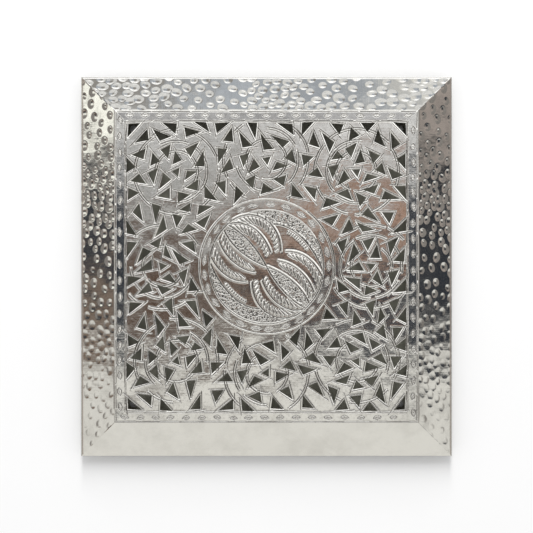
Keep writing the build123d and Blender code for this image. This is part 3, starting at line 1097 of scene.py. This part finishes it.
def foot_section():
    """Section of a foot as (radius, height) rows: a waisted button with eased rims.

    Its side bows in by a parabola, r = r0 + (r1 - r0) s - 4 d s (1 - s), for s from 0 to 1.
    """
    low, high = node_corners("foot_front_left")
    top_radius = 0.5 * (high[0] - low[0])
    bottom_radius = top_radius - 1.0
    waist = top_radius - 2.4
    ease = 0.35
    share = np.linspace(0, 1, 25)
    height = low[2] + ease + share * (high[2] - low[2] - 2 * ease)
    belly = bottom_radius + (top_radius - bottom_radius) * share
    radius = belly - 4 * (0.5 * (top_radius + bottom_radius) - waist) * share * (1 - share)
    rounded = ease * (1 - np.cos(np.linspace(0, np.pi / 2, 5)))[::-1][:-1]
    lift = ease * np.sin(np.linspace(0, np.pi / 2, 5))[:-1]
    return np.concatenate([
        [[0, low[2]], [bottom_radius * 0.5, low[2]]],
        np.stack([bottom_radius - rounded, low[2] + lift], 1),
        np.stack([radius, height], 1),
        np.stack([top_radius - rounded[::-1], high[2] - lift[::-1]], 1),
        [[top_radius * 0.5, high[2]], [0, high[2]]],
    ])


def foot_piece(node, material):
    """One foot: its section turned about an upright axis, closed with a fan at each pole."""
    low, high = node_corners(node)
    centre = 0.5 * (low + high)
    rows = foot_section()
    segments = 96
    angles = 2 * np.pi * np.arange(segments) / segments
    ring = rows[1:-1]
    x = centre[0] + ring[:, :1] * np.cos(angles)
    y = centre[1] + ring[:, :1] * np.sin(angles)
    z = np.repeat(ring[:, 1:], segments, axis=1)
    slope = np.gradient(rows, axis=0)[1:-1]
    flat = np.abs(slope[:, 1]) < 1e-9
    across = np.where(flat, 0, slope[:, 1])
    upright = np.where(flat, np.sign(ring[:, 1] - centre[2]), -slope[:, 0])
    normal = np.stack([across[:, None] * np.cos(angles), across[:, None] * np.sin(angles),
                       np.repeat(upright[:, None], segments, axis=1)], -1)
    poles = np.array([[centre[0], centre[1], low[2]], [centre[0], centre[1], high[2]]])
    places = np.concatenate([np.stack([x, y, z], -1).reshape(-1, 3), poles])
    normals = np.concatenate([normal.reshape(-1, 3), [[0, 0, -1], [0, 0, 1]]])
    index = np.arange(len(ring) * segments).reshape(len(ring), segments)
    following = np.roll(index, -1, axis=1)
    a, b = index[:-1].ravel(), following[:-1].ravel()
    c, d = following[1:].ravel(), index[1:].ravel()
    pole = np.full(segments, len(places) - 2)
    triangles = np.concatenate([
        np.stack([a, b, c], 1), np.stack([a, c, d], 1),
        np.stack([pole, following[0], index[0]], 1), np.stack([pole + 1, index[-1], following[-1]], 1),
    ])
    return add_piece(f"{node}_turned", places, triangles, normals[triangles.ravel()], material,
                     [node])


# ---------------------------------------------------------------- finishes

def add_node(tree, kind, inputs=(), **settings):
    """Adds a shader node. inputs pairs its sockets with plain values or with other sockets."""
    node = tree.nodes.new("ShaderNode" + kind)
    for name, value in settings.items():
        setattr(node, name, value)
    for name, value in dict(inputs).items():
        if isinstance(value, bpy.types.NodeSocket):
            tree.links.new(value, node.inputs[name])
        else:
            node.inputs[name].default_value = value
    return node


def new_group(name, inputs, outputs):
    """An empty shader group with named sockets; inputs and outputs pair names with socket kinds."""
    group = bpy.data.node_groups.new(name, "ShaderNodeTree")
    for label, kind, value in inputs:
        socket = group.interface.new_socket(label, in_out="INPUT", socket_type="NodeSocket" + kind)
        if value is not None:
            socket.default_value = value
    for label, kind in outputs:
        group.interface.new_socket(label, in_out="OUTPUT", socket_type="NodeSocket" + kind)
    return group, group.nodes.new("NodeGroupInput"), group.nodes.new("NodeGroupOutput")


def handling_marks_group():
    """Fine scratches from handling and polishing: two stretched noises, crossed, as a height."""
    group, given, out = new_group(
        "handling_marks", [("Place", "Vector", None), ("Fineness", "Float", 1.0)],
        [("Height", "Float"), ("Haze", "Float")])
    heights = []
    for turn, stretch in ((0.5, (40.0, 900.0, 60.0)), (-0.9, (1000.0, 55.0, 60.0))):
        mapped = add_node(group, "Mapping", {"Vector": given.outputs["Place"], "Rotation": (0, 0, turn),
                                             "Scale": stretch})
        noise = add_node(group, "TexNoise", {"Vector": mapped.outputs[0], "Scale": given.outputs["Fineness"],
                                             "Detail": 3.0, "Roughness": 0.6})
        heights.append(noise.outputs[0])
    both = add_node(group, "Math", {0: heights[0], 1: heights[1]}, operation="ADD")
    haze = add_node(group, "TexNoise", {"Vector": given.outputs["Place"], "Scale": 38.0, "Detail": 4.0,
                                        "Roughness": 0.62})
    group.links.new(both.outputs[0], out.inputs["Height"])
    group.links.new(haze.outputs[0], out.inputs["Haze"])
    return group


def mixed_colour(tree, share, first, second):
    """Blend of two colours by a share from zero to one."""
    mix = add_node(tree, "Mix", {0: share}, data_type="RGBA")
    for socket, value in ((mix.inputs[6], first), (mix.inputs[7], second)):
        if isinstance(value, bpy.types.NodeSocket):
            tree.links.new(value, socket)
        else:
            socket.default_value = (*value, 1.0)
    return mix.outputs[2]


def ranged(tree, value, low, high, to_low=0.0, to_high=1.0):
    """A value stretched from one range to another and held at its ends."""
    return add_node(tree, "MapRange", {0: value, 1: low, 2: high, 3: to_low, 4: to_high}).outputs[0]


def metal_material(name, colour, tarnish_and_groove_shade, metallic, gloss, bump, use_hollow=True):
    """Plate with handling marks, hazy patches and, where the mesh has them, hollows darkened partly by
    tarnish, partly by painted shade.

    gloss is its range of roughness, and bump the strength and height of the handling marks.
    """
    material = bpy.data.materials.new(name)
    material.use_nodes = True
    tree = material.node_tree
    shader = tree.nodes["Principled BSDF"]
    place = add_node(tree, "TexCoord").outputs["Object"]
    marks = add_node(tree, "Group", node_tree=STORE["handling_marks"])
    tree.links.new(place, marks.inputs["Place"])
    marks.inputs["Fineness"].default_value = 1.0
    haze = marks.outputs["Haze"]
    clouds = ranged(tree, haze, 0.45, 0.75, 0.0, 0.18)
    surface = mixed_colour(tree, clouds, colour, tarnish_and_groove_shade)
    if use_hollow:
        hollow_shade = add_node(tree, "Attribute", attribute_name="hollow_shade").outputs["Fac"]
        groove_shade_share = add_node(tree, "Math", {0: hollow_shade, 1: 0.94}, operation="MULTIPLY").outputs[0]
        grain = add_node(tree, "TexNoise", {"Vector": place, "Scale": 420.0, "Detail": 3.0})
        dull = ranged(tree, grain.outputs[0], 0.48, 0.70, 0.0, 0.22)
        surface = mixed_colour(tree, dull, surface, tarnish_and_groove_shade)
        # Painted shade, partly also tarnish: the hollow mask darkens grooves and stipple pits almost to
        # black.
        surface = mixed_colour(tree, groove_shade_share, surface, tuple(0.28 * part for part in tarnish_and_groove_shade))
    tree.links.new(surface, shader.inputs["Base Color"])
    tree.links.new(ranged(tree, haze, 0.3, 0.75, *gloss), shader.inputs["Roughness"])
    shader.inputs["Metallic"].default_value = metallic
    bumped = add_node(tree, "Bump", {"Height": marks.outputs["Height"], "Strength": bump[0],
                                     "Distance": bump[1]})
    tree.links.new(bumped.outputs[0], shader.inputs["Normal"])
    return material


def felt_material(name, colour):
    """Pressed felt: a fine fibre bump and a slightly mottled dark colour."""
    material = bpy.data.materials.new(name)
    material.use_nodes = True
    tree = material.node_tree
    shader = tree.nodes["Principled BSDF"]
    place = add_node(tree, "TexCoord").outputs["Object"]
    fibres = add_node(tree, "TexNoise", {"Vector": place, "Scale": 2600.0, "Detail": 5.0})
    mottle = ranged(tree, fibres.outputs[0], 0.35, 0.7)
    lighter = tuple(min(2.0 * part + 0.01, 1.0) for part in colour)
    tree.links.new(mixed_colour(tree, mottle, colour, lighter), shader.inputs["Base Color"])
    shader.inputs["Roughness"].default_value = 0.95
    shader.inputs["Sheen Weight"].default_value = 0.3
    bumped = add_node(tree, "Bump", {"Height": fibres.outputs[0], "Strength": 0.6, "Distance": 0.0004})
    tree.links.new(bumped.outputs[0], shader.inputs["Normal"])
    return material


def make_finishes():
    """The named materials, made once."""
    if "silver" in STORE:
        return
    colours = bpy.context.scene.salver_colours
    STORE["handling_marks"] = handling_marks_group()
    silver, tarnish_and_groove_shade = tuple(colours.silver), tuple(colours.tarnish_and_groove_shade)
    base = tuple(colours.base_metal)
    darker = tuple(0.55 * part for part in base)
    polished, fine_marks = (0.06, 0.12), (0.06, 0.0002)
    STORE["silver"] = metal_material("chased_silver", silver, tarnish_and_groove_shade, 1.0, polished, fine_marks)
    STORE["plain_silver"] = metal_material("hammered_silver", silver, tarnish_and_groove_shade, 1.0, polished,
                                           fine_marks, False)
    STORE["foot_metal"] = metal_material("satin_silver", silver, tarnish_and_groove_shade, 1.0, (0.25, 0.42),
                                         (0.15, 0.0002), False)
    STORE["dull_plate"] = metal_material("dull_base", base, darker, 0.0, (0.55, 0.80),
                                         (0.30, 0.0003), False)
    STORE["steel"] = metal_material("plated_steel", (0.55, 0.56, 0.58), (0.35, 0.35, 0.36), 1.0,
                                    (0.28, 0.45), (0.2, 0.0002), False)
    STORE["pad_felt"] = felt_material("pressed_felt", tuple(colours.felt))


# ---------------------------------------------------------------- operators

class SALVER_OT_panel(bpy.types.Operator):
    """Make the pierced and chased panel in nine pieces that meet in its cut lines"""

    bl_idname = "salver.panel"
    bl_label = "Pierced panel"

    def execute(self, context):
        make_finishes()
        relief = panel_relief()
        lines = panel_boundaries(relief)
        medallion_piece(relief, lines, STORE["silver"])
        for sx in (1, -1):
            for sy in (1, -1):
                lattice_piece(sx, sy, relief, lines, STORE["silver"])
        if STORE["holes_cut"] != len(HOLES):
            raise RuntimeError(f"{len(HOLES)} piercings, but {STORE['holes_cut']} were cut")
        for side in range(4):
            band_piece(side, relief, lines, STORE["silver"])
        return {"FINISHED"}


class SALVER_OT_borders(bpy.types.Operator):
    """Make the four hammered borders"""

    bl_idname = "salver.borders"
    bl_label = "Hammered borders"

    def execute(self, context):
        make_finishes()
        for turn, (name, side, growth, frontward) in enumerate(BORDERS):
            border_piece(name, side, turn, growth, frontward, STORE["plain_silver"])
        return {"FINISHED"}


class SALVER_OT_feet(bpy.types.Operator):
    """Turn the four button feet"""

    bl_idname = "salver.feet"
    bl_label = "Turned feet"

    def execute(self, context):
        make_finishes()
        for node in sorted(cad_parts):
            if node.startswith("foot_") and node not in ("foot_pads", "foot_screws", "foot_nuts"):
                foot_piece(node, STORE["foot_metal"])
        return {"FINISHED"}


class SALVER_OT_fittings(bpy.types.Operator):
    """Give the base plate, rivets, screws, nuts and pads their finishes"""

    bl_idname = "salver.fittings"
    bl_label = "Base and fittings"

    def execute(self, context):
        make_finishes()
        slots = {"base_plate": "dull_plate", "base_rivets": "dull_plate", "foot_screws": "steel",
                 "foot_nuts": "steel", "foot_pads": "pad_felt"}
        for node, slot in slots.items():
            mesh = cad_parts[node].data
            mesh.materials.clear()
            mesh.materials.append(STORE[slot])
        return {"FINISHED"}


class SALVER_OT_stage(bpy.types.Operator):
    """Lay the floor and set the studio light and the camera"""

    bl_idname = "salver.stage"
    bl_label = "Studio"

    def execute(self, context):
        lay_floor(tuple(context.scene.salver_colours.floor))
        hang_light()
        make_surroundings()
        place_camera()
        return {"FINISHED"}


# ---------------------------------------------------------------- studio

# Metres, but for the sensor, which is in millimetres. The view is measured at the shoulders' height.
CAMERA_HEIGHT = 1.25
CAMERA_SENSOR = 36.0
HALF_VIEW = 0.21535


def lay_floor(colour):
    """A plain pale floor under the feet, a flat sheet six metres across."""
    reach = 3.0
    mesh = bpy.data.meshes.new("floor")
    mesh.from_pydata([(-reach, -reach, 0), (reach, -reach, 0), (reach, reach, 0), (-reach, reach, 0)],
                     [], [(0, 1, 2, 3)])
    floor = bpy.data.objects.new("floor", mesh)
    bpy.context.scene.collection.objects.link(floor)
    material = bpy.data.materials.new("plain_floor")
    material.use_nodes = True
    tree = material.node_tree
    shader = tree.nodes["Principled BSDF"]
    place = add_node(tree, "TexCoord").outputs["Object"]
    grain = add_node(tree, "TexNoise", {"Vector": place, "Scale": 30.0, "Detail": 3.0})
    lighter = tuple(min(1.01 * part, 1.0) for part in colour)
    tree.links.new(mixed_colour(tree, grain.outputs[0], colour, lighter), shader.inputs["Base Color"])
    shader.inputs["Roughness"].default_value = 0.9
    shader.inputs["Specular IOR Level"].default_value = 0.1
    mesh.materials.append(material)
    floor.visible_glossy = False


def hang_light():
    """A soft panel light above and behind, which lays a faint shadow in front of the salver."""
    lamp = bpy.data.lights.new("soft_panel", "AREA")
    lamp.shape = "RECTANGLE"
    lamp.size, lamp.size_y = 0.5, 2.4
    lamp.energy = 54.0
    light = bpy.data.objects.new("soft_panel", lamp)
    light.location = (0.0, 2.0, 1.9)
    light.rotation_euler = (Vector((0, 0, 0)) - light.location).to_track_quat("-Z", "Y").to_euler()
    light.visible_camera = False
    light.visible_glossy = False
    bpy.context.scene.collection.objects.link(light)


SURROUNDINGS = (
    # what lies in each direction: middle (right, rear), half reach (right, rear), softness, colour
    ((0.00, 0.00), (1.20, 0.72), 0.05, (0.23, 0.215, 0.20)),      # dim room to the sides
    ((0.00, 0.86), (0.75, 0.16), 0.05, (0.72, 0.72, 0.71)),       # pale wall behind
    ((0.00, 0.43), (0.54, 0.31), 0.04, (1.35, 1.35, 1.34)),       # broad light overhead, behind
    ((0.00, 0.06), (0.36, 0.060), 0.02, (0.60, 0.60, 0.60)),      # grey ceiling
    ((0.00, 0.195), (0.20, 0.045), 0.015, (0.40, 0.40, 0.41)),    # a darker beam across the light
    ((0.00, 0.915), (0.15, 0.034), 0.015, (0.40, 0.43, 0.47)),    # blue-grey part of the wall behind
    ((-0.12, 0.915), (0.06, 0.034), 0.03, (0.26, 0.245, 0.225)),  # its darker left end
    ((0.17, 0.915), (0.09, 0.034), 0.03, (0.75, 0.74, 0.70)),     # its lit right end
    ((0.00, 1.00), (0.80, 0.050), 0.02, (1.15, 1.15, 1.15)),      # white ground behind
    ((0.00, -0.012), (0.28, 0.072), 0.02, (0.035, 0.040, 0.050)),  # dark room in between
    ((-0.06, -0.015), (0.070, 0.045), 0.03, (0.110, 0.074, 0.056)),  # brown, peach and grey in it
    ((0.055, 0.030), (0.070, 0.028), 0.025, (0.36, 0.235, 0.175)),
    ((-0.06, 0.045), (0.080, 0.018), 0.02, (0.42, 0.42, 0.41)),
    ((-0.43, 0.07), (0.12, 0.140), 0.05, (1.25, 1.24, 1.21)),     # side lights
    ((0.43, 0.07), (0.12, 0.140), 0.05, (1.00, 0.99, 0.97)),
    ((0.00, -0.40), (0.58, 0.300), 0.03, (0.34, 0.33, 0.32)),     # shaded ground in front
    ((0.00, -0.84), (0.70, 0.190), 0.03, (0.73, 0.72, 0.68)),     # pale floor far in front
    ((0.00, -0.150), (0.50, 0.086), 0.015, (0.74, 0.73, 0.69)),   # and its near strip
    ((0.01, -0.110), (0.050, 0.062), 0.015, (0.74, 0.73, 0.69)),
    ((-1.00, 0.00), (0.050, 0.40), 0.02, (0.34, 0.30, 0.27)),     # far left and right
    ((1.00, 0.00), (0.050, 0.40), 0.02, (0.32, 0.285, 0.26)),
    ((-0.915, 0.00), (0.036, 0.062), 0.015, (0.030, 0.034, 0.042)),   # left: dark, brown and cream
    ((-0.915, -0.035), (0.036, 0.022), 0.015, (0.19, 0.138, 0.104)),
    ((-0.915, 0.120), (0.045, 0.040), 0.02, (1.05, 1.05, 0.97)),
    ((-0.915, -0.120), (0.045, 0.060), 0.02, (0.72, 0.71, 0.67)),
    ((0.915, 0.00), (0.036, 0.062), 0.015, (0.030, 0.034, 0.042)),    # right: dark and brown-grey
    ((0.915, 0.120), (0.045, 0.045), 0.02, (0.33, 0.29, 0.265)),
    ((0.915, -0.120), (0.045, 0.060), 0.02, (0.72, 0.71, 0.67)),
)


def window_group():
    """Mask of a soft-edged box of directions: one inside it, zero outside."""
    group, given, out = new_group(
        "window", [("Right", "Float", 0.0), ("Rear", "Float", 0.0), ("Middle Right", "Float", 0.0),
                   ("Middle Rear", "Float", 0.0), ("Reach Right", "Float", 0.1),
                   ("Reach Rear", "Float", 0.1), ("Softness", "Float", 0.05)],
        [("Mask", "Float")])
    shares = []
    for axis in ("Right", "Rear"):
        aside = add_node(group, "Math", {0: given.outputs[axis], 1: given.outputs["Middle " + axis]},
                         operation="SUBTRACT").outputs[0]
        aside = add_node(group, "Math", {0: aside}, operation="ABSOLUTE").outputs[0]
        left = add_node(group, "Math", {0: given.outputs["Reach " + axis], 1: aside},
                        operation="SUBTRACT").outputs[0]
        part = add_node(group, "Math", {0: left, 1: given.outputs["Softness"]},
                        operation="DIVIDE").outputs[0]
        shares.append(add_node(group, "Math", {0: part, 1: 0.5}, operation="ADD", use_clamp=True).outputs[0])
    both = add_node(group, "Math", {0: shares[0], 1: shares[1]}, operation="MULTIPLY")
    group.links.new(both.outputs[0], out.inputs["Mask"])
    return group


def make_surroundings():
    """What the silver mirrors: pale floor in front, walls and lights round it, a dark room between.

    Plain white light for the eye and for matt surfaces; only mirror-like rays see the rest.
    """
    scene = bpy.context.scene
    world = bpy.data.worlds.new("studio")
    world.use_nodes = True
    scene.world = world
    tree = world.node_tree
    tree.nodes.clear()
    place = add_node(tree, "TexCoord").outputs["Generated"]
    aim = add_node(tree, "SeparateXYZ", {0: place})
    rough = add_node(tree, "TexNoise", {"Vector": place, "Scale": 14.0, "Detail": 3.0})
    shift = ranged(tree, rough.outputs[0], 0.3, 0.7, -0.010, 0.010)
    rear = add_node(tree, "Math", {0: aim.outputs[1], 1: shift}, operation="ADD").outputs[0]
    window = window_group()
    seen = (0.16, 0.16, 0.165)
    for middle, reach, softness, colour in SURROUNDINGS:
        mask = add_node(tree, "Group", node_tree=window)
        tree.links.new(aim.outputs[0], mask.inputs["Right"])
        tree.links.new(rear, mask.inputs["Rear"])
        for label, value in zip(("Middle Right", "Middle Rear", "Reach Right", "Reach Rear", "Softness"),
                                (*middle, *reach, softness)):
            mask.inputs[label].default_value = value
        seen = mixed_colour(tree, mask.outputs[0], seen, colour)
    mottle = add_node(tree, "TexNoise", {"Vector": place, "Scale": 26.0, "Detail": 2.0})
    aside = add_node(tree, "Math", {0: mottle.outputs[0], 1: 0.5}, operation="SUBTRACT").outputs[0]
    unevenness = ranged(tree, rear, -0.08, -0.04, 0.15, 1.5)
    strength = add_node(tree, "Math", {0: aside, 1: unevenness, 2: 1.0},
                        operation="MULTIPLY_ADD").outputs[0]
    mirrored = add_node(tree, "Background", {"Color": seen, "Strength": strength})
    plain = add_node(tree, "Background", {"Color": (1.0, 1.0, 1.0, 1.0), "Strength": 0.70})
    rays = add_node(tree, "LightPath")
    both = add_node(tree, "MixShader", {0: rays.outputs["Is Glossy Ray"]})
    tree.links.new(plain.outputs[0], both.inputs[1])
    tree.links.new(mirrored.outputs[0], both.inputs[2])
    tree.links.new(both.outputs[0], add_node(tree, "OutputWorld").inputs["Surface"])
    scene.view_settings.view_transform = "Standard"


def place_camera():
    """The camera looks straight down on the panel, far enough away for a nearly flat view."""
    lens = bpy.data.cameras.new("camera")
    lens.sensor_width = CAMERA_SENSOR
    lens.lens = CAMERA_SENSOR / (2 * HALF_VIEW) * (CAMERA_HEIGHT - SHOULDER * MM)
    lens.clip_start, lens.clip_end = 0.01, 20.0
    camera = bpy.data.objects.new("camera", lens)
    camera.location = (0.0, 0.0, CAMERA_HEIGHT)
    bpy.context.scene.collection.objects.link(camera)
    bpy.context.scene.camera = camera


class SALVER_PT_sidebar(bpy.types.Panel):
    """Sizes, colours and steps of the salver"""

    bl_label = "Salver"
    bl_idname = "SALVER_PT_sidebar"
    bl_space_type = "VIEW_3D"
    bl_region_type = "UI"
    bl_category = "Salver"

    def draw(self, context):
        layout = self.layout
        for group in (context.scene.salver_sizes, context.scene.salver_colours):
            for name in group.bl_rna.properties.keys():
                if name not in ("rna_type", "name"):
                    layout.prop(group, name)
        for step in STEPS:
            layout.operator(step.bl_idname)


STEPS = (SALVER_OT_panel, SALVER_OT_borders, SALVER_OT_feet, SALVER_OT_fittings, SALVER_OT_stage)
CLASSES = (SalverSizes, SalverColours, *STEPS, SALVER_PT_sidebar)


def register():
    """Adds the classes, and the two groups of properties to the scene."""
    for cls in CLASSES:
        bpy.utils.register_class(cls)
    bpy.types.Scene.salver_sizes = bpy.props.PointerProperty(type=SalverSizes)
    bpy.types.Scene.salver_colours = bpy.props.PointerProperty(type=SalverColours)


def unregister():
    """Takes away what register adds."""
    del bpy.types.Scene.salver_colours
    del bpy.types.Scene.salver_sizes
    for cls in reversed(CLASSES):
        bpy.utils.unregister_class(cls)


def main():
    """Makes every piece and the studio."""
    register()
    bpy.ops.salver.panel()
    bpy.ops.salver.borders()
    bpy.ops.salver.feet()
    bpy.ops.salver.fittings()
    bpy.ops.salver.stage()


if __name__ == "__main__":
    main()
